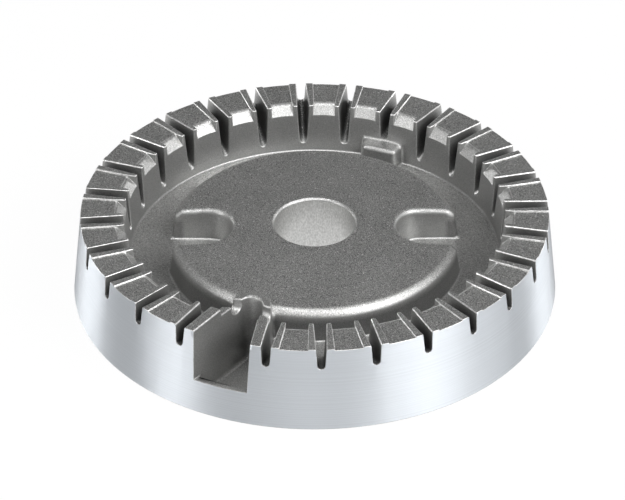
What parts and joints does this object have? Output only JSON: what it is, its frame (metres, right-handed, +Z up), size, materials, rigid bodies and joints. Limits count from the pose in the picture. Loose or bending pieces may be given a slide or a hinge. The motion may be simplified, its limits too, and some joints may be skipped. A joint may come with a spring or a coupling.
{
  "type": "gas burner head",
  "caption": "Round cast gas burner head: slotted flame ring round a raised island with a central throat, two side bays and a walled igniter notch.",
  "frame": {"origin": "centre of the round base, on the throat's axis in the plane that the skirt's rim stands on", "axes": "+Z up along the throat, -Y towards the igniter notch, +Y towards the lug"},
  "size_m": [0.104, 0.104, 0.019],
  "materials": {
    "casting": "shot-blasted, with a bright turned outer wall"
  },
  "bodies": {
    "root": {"burner_head": "casting"}
  },
  "joints": []
}
